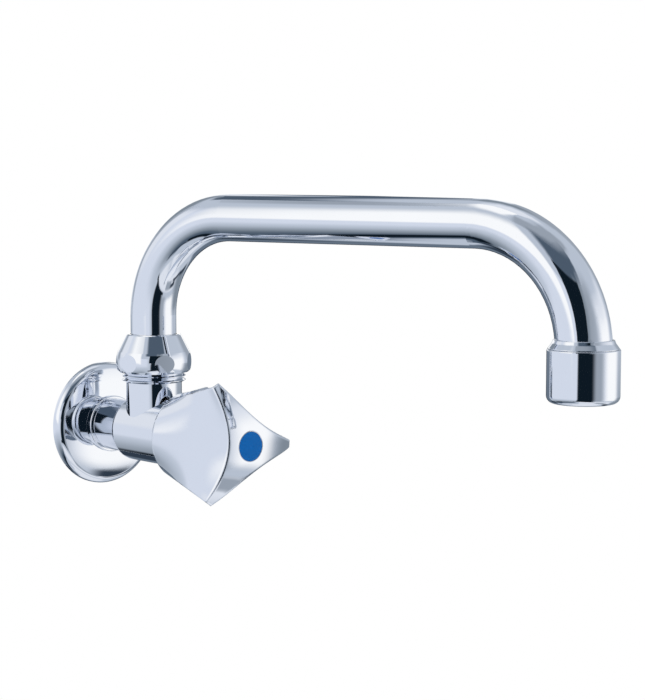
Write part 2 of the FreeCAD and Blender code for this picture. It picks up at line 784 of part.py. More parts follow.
def make_aerator_housing():
    """Turned shell that screws on the ferrule and holds the aerator's inner pieces."""
    outer = "housing_diameter / 2"
    thread = "aerator_thread_size / 2"
    bore = "housing_bore / 2"
    on_outlet(turned("aerator_housing", [
        corner("housing_mouth / 2", HOUSING_BOTTOM),
        corner(f"{outer} - housing_bottom_round", HOUSING_BOTTOM),
        arc_left(outer, f"{HOUSING_BOTTOM} + housing_bottom_round", "housing_bottom_round"),
        corner(outer, f"{HOUSING_TOP} - housing_top_round"),
        arc_left(f"{outer} - housing_top_round", HOUSING_TOP, "housing_top_round"),
        corner(thread, HOUSING_TOP),
        corner(thread, FERRULE_BOTTOM),
        corner(bore, FERRULE_BOTTOM),
        corner(bore, LIP_TOP),
        corner("housing_mouth / 2", LIP_TOP),
    ]))


def make_stream_straightener():
    """Disc at the mouth with rings of round holes: one, six, twelve and eighteen."""
    body = new_body("stream_straightener")
    extrude(body, "Pad", "disc", LIP_TOP, "straightener_thickness", circles=[(CORE_OUTER,)])
    hole = "straightener_hole / 2"
    holes = [(hole,)]
    for ring in (1, 2, 3):
        for step in range(6 * ring):
            angle = f"({step} * 60 deg / {ring})"
            radius = f"({ring} * straightener_pitch)"
            holes.append((hole, f"{radius} * cos{angle}", f"{radius} * sin{angle}"))
    extrude(body, "Pocket", "holes", LIP_TOP, "straightener_thickness", circles=holes, backwards=True)
    on_outlet(body)


def make_aerator_core():
    """Cup that stands on the straightener, with a ring of jets through its top plate."""
    skirt = f"{CORE_OUTER} - core_wall"
    body = turned("aerator_core", [
        corner("0", PLATE_BOTTOM),
        corner(skirt, PLATE_BOTTOM),
        corner(skirt, CORE_BOTTOM),
        corner(CORE_OUTER, CORE_BOTTOM),
        corner(CORE_OUTER, CORE_TOP),
        corner("0", CORE_TOP),
    ])
    doc.recompute()
    jet = [("core_hole / 2", "core_hole_circle / 2", "0")]
    jets = extrude(body, "Pocket", "jet", CORE_TOP, "core_plate", circles=jet)
    pattern_round(body, [jets], "jets", "core_hole_count")
    on_outlet(body)


def make_mesh_screens():
    """Two fine screens inside the cup, kept as thin plain discs."""
    screens = []
    for step, name in enumerate(("screen_lower", "screen_upper")):
        screen = doc.addObject("Part::Cylinder", name)
        bind(screen, "Radius", f"{CORE_OUTER} - core_wall")
        bind(screen, "Height", "screen_thickness")
        bind(screen, "Placement.Base.z", f"{CORE_BOTTOM} + {step} * screen_spacing")
        screens.append(screen)
    on_outlet(group("mesh_screens", screens))


def make_aerator_gasket():
    """Rubber ring between the ferrule's end and the aerator's cup."""
    outer = "(housing_bore / 2 - core_clearance)"
    on_outlet(turned("aerator_gasket", [
        corner(OUTLET_INNER, CORE_TOP),
        corner(outer, CORE_TOP),
        corner(outer, FERRULE_BOTTOM),
        corner(OUTLET_INNER, FERRULE_BOTTOM),
    ]))


# ---------------------------------------------------------------- bonnet, spindle and plunger

def make_headwork_bonnet():
    """Bonnet screwed into the branch: six-sided guide, spindle bore, and a wrench collar."""
    collar = f"(bonnet_across_flats {HEX_CORNER})"
    body = turned("headwork_bonnet", [
        corner(SPINDLE_BORE, THRUST_FACE),
        corner("thrust_bore / 2", THRUST_FACE),
        corner("thrust_bore / 2", GUIDE_FRONT),
        corner("0", GUIDE_FRONT),
        corner("0", "bonnet_skirt_back"),
        corner("bonnet_skirt_diameter / 2", "bonnet_skirt_back"),
        corner("bonnet_skirt_diameter / 2", "bonnet_thread_back"),
        corner("bonnet_thread_size / 2", "bonnet_thread_back"),
        corner("bonnet_thread_size / 2", "branch_front"),
        corner("bonnet_neck_diameter / 2", "branch_front"),
        corner("bonnet_neck_diameter / 2", COLLAR_BACK),
        corner(collar, COLLAR_BACK),
        corner(collar, COLLAR_FRONT),
        corner("bonnet_nose_diameter / 2", COLLAR_FRONT),
        corner("bonnet_nose_diameter / 2", NOSE_FRONT),
        corner(SPINDLE_BORE, NOSE_FRONT),
    ])
    doc.recompute()
    guide = [hexagon(GUIDE_FLATS)]
    extrude(body, "Pocket", "guide", "bonnet_skirt_back", "guide_depth", guide, backwards=True)
    flats = [hexagon("bonnet_across_flats")]
    around = [(f"2 * {collar}",)]
    extrude(body, "Pocket", "flats", COLLAR_BACK, "bonnet_collar", flats, around, backwards=True)
    on_valve_axis(body)


def make_bonnet_seal():
    """Fibre ring clamped between the bonnet's collar and the branch."""
    inner = "bonnet_neck_diameter / 2"
    on_valve_axis(turned("bonnet_seal", [
        corner(inner, "branch_front"),
        corner(f"{inner} + bonnet_seal_width", "branch_front"),
        corner(f"{inner} + bonnet_seal_width", COLLAR_BACK),
        corner(inner, COLLAR_BACK),
    ]))


def make_spindle():
    """Non-rising spindle: driving screw, thrust shoulder, sealed stem and splined end."""
    stem = "spindle_diameter / 2"
    outline = [
        corner("0", SPINDLE_BACK),
        corner("spindle_screw / 2", SPINDLE_BACK),
        corner("spindle_screw / 2", f"{SHOULDER_FRONT} - shoulder_thickness"),
        corner("spindle_shoulder / 2", f"{SHOULDER_FRONT} - shoulder_thickness"),
        corner("spindle_shoulder / 2", SHOULDER_FRONT),
        corner(stem, SHOULDER_FRONT),
    ]
    for place in ("back_ring_place", "front_ring_place"):
        outline += ring_groove(SPINDLE_GROOVE, stem, place, "spindle_groove")
    circlip_middle = f"({CIRCLIP_BACK} + circlip_thickness / 2)"
    outline += ring_groove("circlip_root / 2", stem, circlip_middle, "circlip_thickness")
    outline += [corner(stem, "stem_end"), corner("0", "stem_end")]
    body = turned("spindle", outline)
    doc.recompute()
    extrude(body, "Pad", "splines", "stem_end", "spindle_front - stem_end", [spline_outline()])
    screw = "handle_screw_size / 2"
    turn_profile(body, "Groove", "screw_hole", [
        corner("0", "spindle_front - screw_hole_depth"),
        corner(screw, "spindle_front - screw_hole_depth"),
        corner(screw, "spindle_front + spline_depth"),
        corner("0", "spindle_front + spline_depth"),
    ])
    on_valve_axis(body)


def spline_outline():
    """Fine splines seen along the axis: narrow lands with a V-shaped space after each."""
    outline = []
    land = "spline_diameter / 2"
    root = "(spline_diameter / 2 - spline_depth)"
    for tooth in range(int(number_of("spline_count"))):
        places = ((land, f"{tooth} - spline_land / 2"), (land, f"{tooth} + spline_land / 2"),
                  (root, f"{tooth} + 1 / 2"))
        for radius, place in places:
            angle = f"(({place}) * 360 deg / spline_count)"
            outline.append(corner(f"{radius} * cos{angle}", f"{radius} * sin{angle}"))
    return outline


def make_spindle_rings():
    """The two seals on the spindle's stem."""
    centre = f"{SPINDLE_GROOVE} + spindle_ring_section / 2"
    rings = [seal_ring("spindle_ring_back", centre, "spindle_ring_section", "back_ring_place"),
             seal_ring("spindle_ring_front", centre, "spindle_ring_section", "front_ring_place")]
    on_valve_axis(group("spindle_o_rings", rings))


def make_thrust_washer():
    """Plastic washer that takes the spindle's thrust against the bonnet."""
    front = f"({SHOULDER_FRONT} + thrust_washer)"
    on_valve_axis(turned("thrust_washer", [
        corner("spindle_diameter / 2", SHOULDER_FRONT),
        corner("spindle_shoulder / 2", SHOULDER_FRONT),
        corner("spindle_shoulder / 2", front),
        corner("spindle_diameter / 2", front),
    ]))


def make_spindle_circlip():
    """Open spring ring in the spindle's groove, in front of the bonnet's nose."""
    inner = "circlip_root / 2"
    front = f"({CIRCLIP_BACK} + circlip_thickness)"
    on_valve_axis(turned("spindle_circlip", [
        corner(inner, CIRCLIP_BACK),
        corner(f"{inner} + circlip_width", CIRCLIP_BACK),
        corner(f"{inner} + circlip_width", front),
        corner(inner, front),
    ], angle="circlip_angle"))


def make_valve_plunger():
    """Six-sided slider with the spindle's thread inside and a cup for the seat washer."""
    head = "plunger_head_diameter / 2"
    cup = "seat_washer_diameter / 2"
    screw = "washer_screw_size / 2"
    body = new_body("valve_plunger")
    length = f"plunger_front - {PLUNGER_CUP}"
    extrude(body, "Pad", "slider", PLUNGER_CUP, length, [hexagon("plunger_across_flats")])
    turn_profile(body, "Revolution", "head", [
        corner("0", PLUNGER_CUP),
        corner(cup, PLUNGER_CUP),
        corner(cup, f"{PLUNGER_CUP} - plunger_rim"),
        corner(head, f"{PLUNGER_CUP} - plunger_rim"),
        corner(head, f"{PLUNGER_CUP} + plunger_head"),
        corner("0", f"{PLUNGER_CUP} + plunger_head"),
    ])
    turn_profile(body, "Groove", "thread_bore", [
        corner("0", "plunger_floor"),
        corner("spindle_screw / 2 + running_gap", "plunger_floor"),
        corner("spindle_screw / 2 + running_gap", "plunger_front + plunger_end_room"),
        corner("0", "plunger_front + plunger_end_room"),
    ])
    turn_profile(body, "Groove", "screw_bore", [
        corner("0", f"{PLUNGER_CUP} - plunger_rim"),
        corner(screw, f"{PLUNGER_CUP} - plunger_rim"),
        corner(screw, f"{WASHER_BACK} + washer_screw_length"),
        corner("0", f"{WASHER_BACK} + washer_screw_length"),
    ])
    on_valve_axis(body)


def make_seat_washer():
    """Rubber jumper washer that closes the seat."""
    inner = "washer_screw_size / 2"
    outer = "seat_washer_diameter / 2"
    on_valve_axis(turned("seat_washer", [
        corner(inner, WASHER_BACK),
        corner(outer, WASHER_BACK),
        corner(outer, PLUNGER_CUP),
        corner(inner, PLUNGER_CUP),
    ]))


def add_slot(body, face, towards_shank):
    """Cut a straight driver slot across a screw's head."""
    half = "screw_slot_width / 2"
    wide = "washer_screw_head"
    slot = [
        corner(f"0 - {wide}", f"0 - {half}"),
        corner(wide, f"0 - {half}"),
        corner(wide, half),
        corner(f"0 - {wide}", half),
    ]
    doc.recompute()
    extrude(body, "Pocket", "slot", face, "screw_slot_depth", [slot], backwards=towards_shank)


def make_washer_screw():
    """Small screw that holds the seat washer in the plunger's cup."""
    shank = "washer_screw_size / 2"
    head = "washer_screw_head / 2"
    head_back = f"({WASHER_BACK} - washer_screw_head_height)"
    body = turned("washer_screw", [
        corner("0", head_back),
        corner(head, head_back),
        corner(head, WASHER_BACK),
        corner(shank, WASHER_BACK),
        corner(shank, f"{WASHER_BACK} + washer_screw_length"),
        corner("0", f"{WASHER_BACK} + washer_screw_length"),
    ])
    add_slot(body, head_back, True)
    on_valve_axis(body)


# ---------------------------------------------------------------- handle

def handle_section(tip, chord_side):
    """Three narrow tips at equal angles, joined by arcs; the outline runs anticlockwise."""
    outline = []
    for step in range(3):
        angle = f"({120 * step} deg + handle_turn * 1 deg)"
        for sign in ("-", "+"):
            other = "+" if sign == "-" else "-"
            u = f"{tip} * cos{angle} {other} handle_tip_width / 2 * sin{angle}"
            v = f"{tip} * sin{angle} {sign} handle_tip_width / 2 * cos{angle}"
            outline.append(chord_side(u, v) if sign == "-" else corner(u, v))
    return outline


def back_section():
    """The handle's round back, with the tips' strips as short chords."""
    tip = "sqrt(handle_back_radius ^ 2 - handle_tip_width ^ 2 / 4)"
    return handle_section(tip, lambda u, v: arc_left(u, v, "handle_back_radius"))


def front_section():
    """The three-pointed front, its sides hollowed between the tips."""
    tip = "handle_tip_radius"
    half_chord = "(handle_tip_radius * sin(60 deg) - handle_tip_width / 2 * cos(60 deg))"
    chord_place = "(handle_tip_radius * cos(60 deg) + handle_tip_width / 2 * sin(60 deg))"
    hollow = f"({chord_place} - handle_side_radius)"
    radius = f"(({half_chord} ^ 2 + {hollow} ^ 2) / (2 * {hollow}))"
    return handle_section(tip, lambda u, v: arc_right(u, v, radius))


def make_handle_shell():
    """Cast handle: round at the back, three-pointed and domed at the front, hollow behind."""
    body = new_body("handle_shell")
    back = sketch_on(body, "back", "XY_Plane", out="handle_back")
    draw(back, back_section())
    front = sketch_on(body, "front", "XY_Plane", out="handle_front")
    draw(front, front_section())
    doc.recompute()
    loft = body.newObject("PartDesign::AdditiveLoft", "handle_shell_form")
    loft.Profile = back
    loft.Sections = [(front, [""])]
    loft.Ruled = True
    doc.recompute()
    # the dome: what stands outside a sphere is cut away, its seam kept off the handle
    wide = "(handle_tip_radius + handle_tip_width)"
    low = f"sqrt(handle_dome ^ 2 - {wide} ^ 2)"
    far = "(handle_dome + handle_tip_radius)"
    turn_profile(body, "Groove", "dome", [
        corner(f"0 - {wide}", f"0 - {low}"),
        arc_left(wide, f"0 - {low}", "handle_dome"),
        corner(wide, f"0 - {far}"),
        corner(f"0 - {wide}", f"0 - {far}"),
    ], axis="H_Axis", up="handle_front - handle_dome")
    doc.recompute()
    hollow_handle(body)
    doc.recompute()
    round_handle_rim(body)
    on_valve_axis(body)


def round_handle_rim(body):
    """Round the edge between the domed front and the sides."""
    pocket = number_of("disc_diameter / 2 + disc_edge_gap")
    seat = number_of(SCREW_SEAT)
    names = []
    for index, edge in enumerate(body.Shape.Edges, start=1):
        ends = [vertex.Point for vertex in edge.Vertexes]
        if all(end.z > seat and math.hypot(end.x, end.y) > pocket for end in ends):
            names.append(f"Edge{index}")
    hollowed = body.Tip
    fillet = body.newObject("PartDesign::Fillet", "handle_shell_rounding")
    fillet.Base = (hollowed, names)
    bind(fillet, "Radius", "handle_edge_round")


def hollow_handle(body):
    """Open the mouth over the bonnet, the bush's socket, the screw's well and the disc's pocket."""
    mouth_floor = "(handle_back + handle_mouth_depth)"
    front = "(handle_front + disc_crown)"
    turn_profile(body, "Groove", "hollow", [
        corner("0", "handle_back - handle_edge_round"),
        corner("handle_mouth / 2", "handle_back - handle_edge_round"),
        corner("handle_mouth / 2", mouth_floor),
        corner("handle_throat / 2", mouth_floor),
        corner("handle_throat / 2", "bush_back"),
        corner("bush_diameter / 2", "bush_back"),
        corner("bush_diameter / 2", BUSH_FRONT),
        corner("handle_screw_size / 2", BUSH_FRONT),
        corner("handle_screw_size / 2", SCREW_SEAT),
        corner("handle_well / 2", SCREW_SEAT),
        corner("handle_well / 2", DISC_FLOOR),
        corner("disc_diameter / 2", DISC_FLOOR),
        corner("disc_diameter / 2", front),
        corner("0", front),
    ])


def make_handle_bush():
    """Bush pressed into the handle, its socket cut to the spindle's splines."""
    body = turned("handle_bush", [
        corner("handle_screw_size / 2", "bush_back"),
        corner("bush_diameter / 2", "bush_back"),
        corner("bush_diameter / 2", BUSH_FRONT),
        corner("handle_screw_size / 2", BUSH_FRONT),
    ])
    doc.recompute()
    depth = "spindle_front - bush_back"
    extrude(body, "Pocket", "socket", "bush_back", depth, [spline_outline()], backwards=True)
    on_valve_axis(body)


def make_handle_screw():
    """Slotted screw through the handle's web into the spindle."""
    shank = "handle_screw_size / 2"
    head = "handle_screw_head / 2"
    head_front = f"({SCREW_SEAT} + handle_screw_head_height)"
    body = turned("handle_screw", [
        corner("0", f"{SCREW_SEAT} - handle_screw_length"),
        corner(shank, f"{SCREW_SEAT} - handle_screw_length"),
        corner(shank, SCREW_SEAT),
        corner(head, SCREW_SEAT),
        corner(head, head_front),
        corner("0", head_front),
    ])
    add_slot(body, head_front, False)
    on_valve_axis(body)


def make_index_disc():
    """Coloured disc snapped into the handle's front: a gently crowned face on a thin skirt."""
    skirt = "disc_diameter / 2"
    face = f"({skirt} - disc_edge_gap)"
    face_back = "(handle_front - disc_thickness)"
    crown = f"(({face} ^ 2 + disc_crown ^ 2) / (2 * disc_crown))"
    on_valve_axis(turned("index_disc", [
        corner("0", face_back),
        corner(f"{skirt} - disc_wall", face_back),
        corner(f"{skirt} - disc_wall", DISC_FLOOR),
        corner(skirt, DISC_FLOOR),
        corner(skirt, face_back),
        corner(face, face_back),
        corner(face, "handle_front - disc_crown"),
        arc_left("0", "handle_front", crown),
    ]))


# ---------------------------------------------------------------- build and write

def check(things):
    """Stop if any feature failed or any piece has no sound solid."""
    for thing in things:
        for state in thing.State:
            if "Invalid" in state or "Error" in state:
                raise RuntimeError(f"{thing.Name} failed to build: {state}")
    for piece in pieces:
        if piece.Shape.isNull() or not piece.Shape.isValid() or not piece.Shape.Solids:
            raise RuntimeError(f"{piece.Label} has no sound solid")


MAKERS = [
    make_valve_body, make_wall_flange, make_flange_gasket,
    make_union_nut, make_slide_washer, make_bearing_ring,
    make_spout_spigot, make_spigot_rings, make_spout_tube,
    make_outlet_ferrule, make_aerator_housing, make_stream_straightener,
    make_aerator_core, make_mesh_screens, make_aerator_gasket,
    make_headwork_bonnet, make_bonnet_seal, make_spindle, make_spindle_rings,
    make_thrust_washer, make_spindle_circlip,
    make_valve_plunger, make_seat_washer, make_washer_screw,
    make_handle_shell, make_handle_bush, make_handle_screw, make_index_disc,
]

for make in MAKERS:
    make()
    doc.recompute()
check(doc.Objects)

os.makedirs("parts", exist_ok=True)
for piece in pieces:
    piece.Shape.exportStep(f"parts/{piece.Label}.step")
    print(f"{piece.Label}: {piece.Shape.Volume:.1f} mm3, {len(piece.Shape.Solids)} solid(s)")
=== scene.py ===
import math

import bpy
from mathutils import Matrix, Vector

# Wall faucet in polished chrome, in a plain light studio. Lengths are metres, in the CAD's frame.

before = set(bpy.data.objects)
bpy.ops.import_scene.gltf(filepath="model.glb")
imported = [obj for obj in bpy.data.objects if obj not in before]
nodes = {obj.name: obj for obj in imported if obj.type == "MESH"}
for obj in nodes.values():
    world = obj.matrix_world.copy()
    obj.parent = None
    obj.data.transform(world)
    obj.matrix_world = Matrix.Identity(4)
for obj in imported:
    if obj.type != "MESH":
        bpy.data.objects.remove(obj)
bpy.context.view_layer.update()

MM = 0.001
TURN = 2 * math.pi

# the inlet's pipe thread in bare brass; the plating ends just behind the step at the thread's
# front, which is inside the wall flange, a little in front of the wall's plane
INLET_PITCH = 1.814 * MM
INLET_RIDGE = 1.1 * MM
PLATING_END = -1.4 * MM
BRASS_ROUGHER = 0.24

# polished chrome: its tint, the size of its clouds and of its polishing haze, and its roughness
CHROME_TINT = (0.80, 0.83, 0.89)
CHROME_PALER = 1.03
CLOUD_SCALE = 45
HAZE_SCALE = 900
POLISHED, HAZY = 0.02, 0.055

# the aerator's screens: half the distance between two wires, and the relief of the weave
WIRE_HALF_PITCH = 0.25 * MM
WEAVE_DEPTH = 0.08 * MM


# ---------------------------------------------------------------- node helpers

class Shader:
    """A material under construction: short calls that add and join its nodes."""

    EDGE_SAMPLES = 8

    def __init__(self, name):
        self.material = bpy.data.materials.new(name)
        self.material.use_nodes = True
        self.tree = self.material.node_tree
        self.surface = self.tree.nodes["Principled BSDF"]
        self.place = self.add("ShaderNodeTexCoord").outputs["Object"]

    def add(self, kind, **settings):
        """A new node with the given settings."""
        node = self.tree.nodes.new(kind)
        for key, value in settings.items():
            setattr(node, key, value)
        return node

    def join(self, source, target):
        """A link from an output to an input."""
        self.tree.links.new(source, target)

    def math(self, operation, first, second):
        """One arithmetic step on two values or outputs."""
        node = self.add("ShaderNodeMath", operation=operation)
        for socket, value in zip(node.inputs, (first, second)):
            if isinstance(value, (int, float)):
                socket.default_value = value
            else:
                self.join(value, socket)
        return node.outputs["Value"]

    def noise(self, scale, detail=3.0, stretch=(1, 1, 1)):
        """Smooth random variation over the surface, from 0 to 1."""
        mapping = self.add("ShaderNodeMapping")
        mapping.inputs["Scale"].default_value = stretch
        self.join(self.place, mapping.inputs["Vector"])
        node = self.add("ShaderNodeTexNoise")
        node.inputs["Scale"].default_value = scale
        node.inputs["Detail"].default_value = detail
        self.join(mapping.outputs["Vector"], node.inputs["Vector"])
        return node.outputs["Fac"]

    def spread(self, value, low, high):
        """Spread a value from 0..1 over low..high."""
        node = self.add("ShaderNodeMapRange")
        node.inputs["To Min"].default_value = low
        node.inputs["To Max"].default_value = high
        self.join(value, node.inputs["Value"])
        return node.outputs["Result"]

    def blend(self, share, first, second):
        """A colour between two others, by a share from 0 to 1."""
        node = self.add("ShaderNodeMix", data_type="RGBA")
        self.join(share, node.inputs["Factor"])
        # this node's colours are its inputs 6 and 7 and its output 2
        for socket, colour in ((node.inputs[6], first), (node.inputs[7], second)):
            if isinstance(colour, tuple):
                socket.default_value = (*colour, 1)
            else:
                self.join(colour, socket)
        return node.outputs[2]

    def bump(self, height, distance, edge=0.0):
        """Relief of a height from 0 to 1 over a distance in metres, with softened edges."""
        node = self.add("ShaderNodeBump")
        if edge:
            rounded = self.add("ShaderNodeBevel", samples=self.EDGE_SAMPLES)
            rounded.inputs["Radius"].default_value = edge
            self.join(rounded.outputs["Normal"], node.inputs["Normal"])
        node.inputs["Distance"].default_value = distance
        self.join(height, node.inputs["Height"])
        self.join(node.outputs["Normal"], self.surface.inputs["Normal"])

    def set(self, **values):
        """Plain numbers and colours on the surface's own sockets."""
        for key, value in values.items():
            socket = self.surface.inputs[key.replace("_", " ")]
            socket.default_value = (*value, 1) if isinstance(value, tuple) else value


# ---------------------------------------------------------------- materials

def chrome(name, waves=70, depth=0.6e-5, edge=0.0):
    """Polished chrome plate: faint clouds, fine polishing haze and the form's slight waviness."""
    shader = Shader(name)
    shader.set(Metallic=1.0)
    paler = tuple(part * CHROME_PALER for part in CHROME_TINT)
    colour = shader.blend(shader.noise(CLOUD_SCALE), CHROME_TINT, paler)
    shader.join(colour, shader.surface.inputs["Base Color"])
    haze = shader.noise(HAZE_SCALE, 2, (1, 1, 4))
    shader.join(shader.spread(haze, POLISHED, HAZY), shader.surface.inputs["Roughness"])
    shader.bump(shader.noise(waves, 1), depth, edge=edge)
    return shader.material


def inlet_chrome():
    """Body chrome that ends inside the wall flange: from there on the inlet is threaded brass."""
    shader = Shader("chrome_body")
    parts = shader.add("ShaderNodeSeparateXYZ")
    shader.join(shader.place, parts.inputs["Vector"])
    x, y, z = parts.outputs
    behind = shader.math("GREATER_THAN", y, PLATING_END)
    plated = shader.blend(shader.noise(CLOUD_SCALE), CHROME_TINT, (0.82, 0.85, 0.91))
    brass = shader.blend(shader.noise(120), (0.62, 0.44, 0.17), (0.74, 0.55, 0.24))
    shader.join(shader.blend(behind, plated, brass), shader.surface.inputs["Base Color"])
    haze = shader.spread(shader.noise(HAZE_SCALE, 2), POLISHED, HAZY)
    rough = shader.math("ADD", haze, shader.math("MULTIPLY", behind, BRASS_ROUGHER))
    shader.join(rough, shader.surface.inputs["Roughness"])
    shader.set(Metallic=1.0)
    # the thread's height runs up and down once for each pitch, along a helix round the inlet
    round_share = shader.math("DIVIDE", shader.math("ARCTAN2", x, z), TURN)
    turns = shader.math("ADD", shader.math("DIVIDE", y, INLET_PITCH), round_share)
    ridge = shader.math("PINGPONG", turns, 0.5)
    height = shader.math("MULTIPLY", shader.math("MULTIPLY", ridge, behind), 2.0)
    shader.bump(height, INLET_RIDGE)
    return shader.material


def machined(name, dark, light, rough):
    """Turned or sawn metal with fine tool marks across its length."""
    shader = Shader(name)
    shader.set(Metallic=1.0)
    marks = shader.noise(300, 4, (1, 9, 1))
    shader.join(shader.blend(marks, dark, light), shader.surface.inputs["Base Color"])
    shader.join(shader.spread(marks, rough, rough + 0.12), shader.surface.inputs["Roughness"])
    shader.bump(marks, 0.8e-5)
    return shader.material


def moulded(name, dark, light, rough, grain=1400, depth=0.5e-5):
    """Moulded plastic, rubber or foam with a fine even grain."""
    shader = Shader(name)
    fine = shader.noise(grain, 3)
    tone = shader.blend(shader.noise(160), dark, light)
    shader.join(tone, shader.surface.inputs["Base Color"])
    shader.join(shader.spread(fine, rough, rough + 0.1), shader.surface.inputs["Roughness"])
    shader.bump(fine, depth)
    return shader.material


def glossy_disc():
    """Blue moulded plastic, a little deeper and lighter in places, with a faint gloss."""
    shader = Shader("plastic_blue")
    deep, lighter = (0.0008, 0.086, 0.305), (0.0012, 0.100, 0.350)
    tone = shader.blend(shader.noise(130), deep, lighter)
    shader.join(tone, shader.surface.inputs["Base Color"])
    shader.join(shader.spread(shader.noise(300), 0.30, 0.38), shader.surface.inputs["Roughness"])
    shader.bump(shader.noise(120, 1), 0.2e-5)
    shader.set(Specular_IOR_Level=0.07)
    return shader.material


def woven_screen():
    """Fine square weave of steel wire, with painted shade in the openings between the wires."""
    shader = Shader("steel_screen")
    parts = shader.add("ShaderNodeSeparateXYZ")
    shader.join(shader.place, parts.inputs["Vector"])
    x, y, _ = parts.outputs
    wires = [shader.math("PINGPONG", axis, WIRE_HALF_PITCH) for axis in (x, y)]
    weave_and_hole_shade = shader.math("MULTIPLY", shader.math("MAXIMUM", *wires), 1 / WIRE_HALF_PITCH)
    # the tone darkens from the wires into the openings between them: painted shade for the dark
    # inside seen through the screen
    tone = shader.blend(weave_and_hole_shade, (0.06, 0.06, 0.065), (0.60, 0.60, 0.62))
    shader.join(tone, shader.surface.inputs["Base Color"])
    rough = shader.spread(shader.noise(800), 0.25, 0.4)
    shader.join(rough, shader.surface.inputs["Roughness"])
    shader.bump(weave_and_hole_shade, WEAVE_DEPTH)
    shader.set(Metallic=1.0)
    return shader.material


BRASS = machined("brass_machined", (0.58, 0.41, 0.16), (0.76, 0.58, 0.26), 0.22)
STEEL = machined("steel_screw", (0.42, 0.42, 0.44), (0.62, 0.62, 0.65), 0.22)
SPRING = machined("steel_spring", (0.20, 0.20, 0.22), (0.40, 0.40, 0.43), 0.26)
ACETAL = moulded("plastic_white", (0.72, 0.72, 0.69), (0.80, 0.80, 0.77), 0.38)
RUBBER = moulded("rubber_black", (0.012, 0.012, 0.014), (0.024, 0.024, 0.027), 0.55,
                 grain=900, depth=1.5e-5)
FOAM = moulded("foam_grey", (0.030, 0.030, 0.033), (0.070, 0.070, 0.075), 0.80,
               grain=700, depth=1.2e-4)
FIBRE = moulded("fibre_red", (0.22, 0.055, 0.030), (0.36, 0.11, 0.060), 0.60,
                grain=600, depth=4e-5)
AERATOR = moulded("plastic_grey", (0.50, 0.51, 0.52), (0.60, 0.61, 0.62), 0.35)

FINISH = {
    "valve_body": inlet_chrome(),
    "wall_flange": chrome("chrome_flange", waves=38, depth=1.6e-5),
    "union_nut": chrome("chrome_nut"),
    "spout_tube": chrome("chrome_spout", waves=48, depth=0.8e-5),
    "outlet_ferrule": chrome("chrome_ferrule", edge=0.5 * MM),
    "aerator_housing": chrome("chrome_housing", edge=0.5 * MM),
    "handle_shell": chrome("chrome_handle", waves=60, depth=1.2e-5, edge=1.2 * MM),
    "flange_gasket": FOAM,
    "slide_washer": ACETAL, "bearing_ring": ACETAL,
    "thrust_washer": ACETAL, "handle_bush": ACETAL,
    "headwork_bonnet": BRASS, "spindle": BRASS,
    "valve_plunger": BRASS, "spout_spigot": BRASS,
    "bonnet_seal": FIBRE,
    "spindle_o_rings": RUBBER, "spigot_o_rings": RUBBER,
    "seat_washer": RUBBER, "aerator_gasket": RUBBER,
    "spindle_circlip": SPRING,
    "handle_screw": STEEL, "washer_screw": STEEL,
    "index_disc": glossy_disc(),
    "aerator_core": AERATOR, "stream_straightener": AERATOR,
    "mesh_screens": woven_screen(),
}

for name, material in FINISH.items():
    nodes[name].data.materials.clear()
    nodes[name].data.materials.append(material)


# ---------------------------------------------------------------- studio

CENTRE = Vector((0.020, -0.120, 0.045))
FLOOR_HEIGHT = -0.40
FLOOR_REACH = 30.0
FLOOR_WHITE = (0.93, 0.93, 0.93)
# the floor's shadow is strongest up to the first distance from its middle, and gone from the
# second; even the strongest is lightened by this share of plain white
SHADOW_TO, PLAIN_FROM = 0.25, 1.0
SHADOW_GLOW = 0.45
WORLD_LIGHT = 0.55
LAMP_DISTANCE = 1.2
TENT_DISTANCE = 2.2
PANEL_DISTANCE = 1.6
PANEL_GAP = 0.02
# a panel's mesh: degrees for each cell, and the fewest cells along a side
CELL = 2.0
FEWEST_CELLS = 8


def toward(azimuth, elevation):
    """Direction from the faucet; azimuth 0 is towards -Y, 90 towards +X."""
    a, e = math.radians(azimuth), math.radians(elevation)
    return Vector((math.sin(a) * math.cos(e), -math.cos(a) * math.cos(e), math.sin(e)))


def panel(name, corners, colour, soft, distance):
    """A studio panel seen only in the metal: a soft-edged patch of a sphere round the faucet.

    The corners are (azimuth, elevation): low left, low right, high right, high left; soft is the
    fading width in degrees at the left, right, low and high edges.
    """
    low_left, low_right, high_right, high_left = corners
    width = (low_right[0] - low_left[0] + high_right[0] - high_left[0]) / 2
    height = (high_left[1] - low_left[1] + high_right[1] - low_right[1]) / 2
    columns, rows = (max(FEWEST_CELLS, round(span / CELL)) for span in (width, height))
    points, shares = [], []
    for row in range(rows + 1):
        for column in range(columns + 1):
            u, v = column / columns, row / rows
            azimuth, elevation = (
                (1 - v) * ((1 - u) * low_left[axis] + u * low_right[axis])
                + v * ((1 - u) * high_left[axis] + u * high_right[axis]) for axis in (0, 1))
            points.append(CENTRE + toward(azimuth, elevation) * distance)
            inside = (u * width, (1 - u) * width, v * height, (1 - v) * height)
            shares.append(math.prod(fade(depth, edge) for depth, edge in zip(inside, soft)))
    wide = columns + 1
    faces = [(low, low + 1, low + 1 + wide, low + wide)
             for low in (row * wide + column for row in range(rows) for column in range(columns))]
    mesh = bpy.data.meshes.new(name)
    mesh.from_pydata(points, [], faces)
    mesh.attributes.new("share", "FLOAT", "POINT").data.foreach_set("value", shares)
    mesh.materials.append(glow_panel(name, colour))
    hold_in_metal(bpy.data.objects.new(name, mesh))


def fade(depth, edge):
    """A smooth rise from 0 at a panel's edge to 1 at a given depth inside it."""
    share = min(1.0, depth / edge) if edge else 1.0
    return share * share * (3 - 2 * share)


def block(left, right, low, high):
    """A panel's corners when its sides are upright and level."""
    return (left, low), (right, low), (right, high), (left, high)


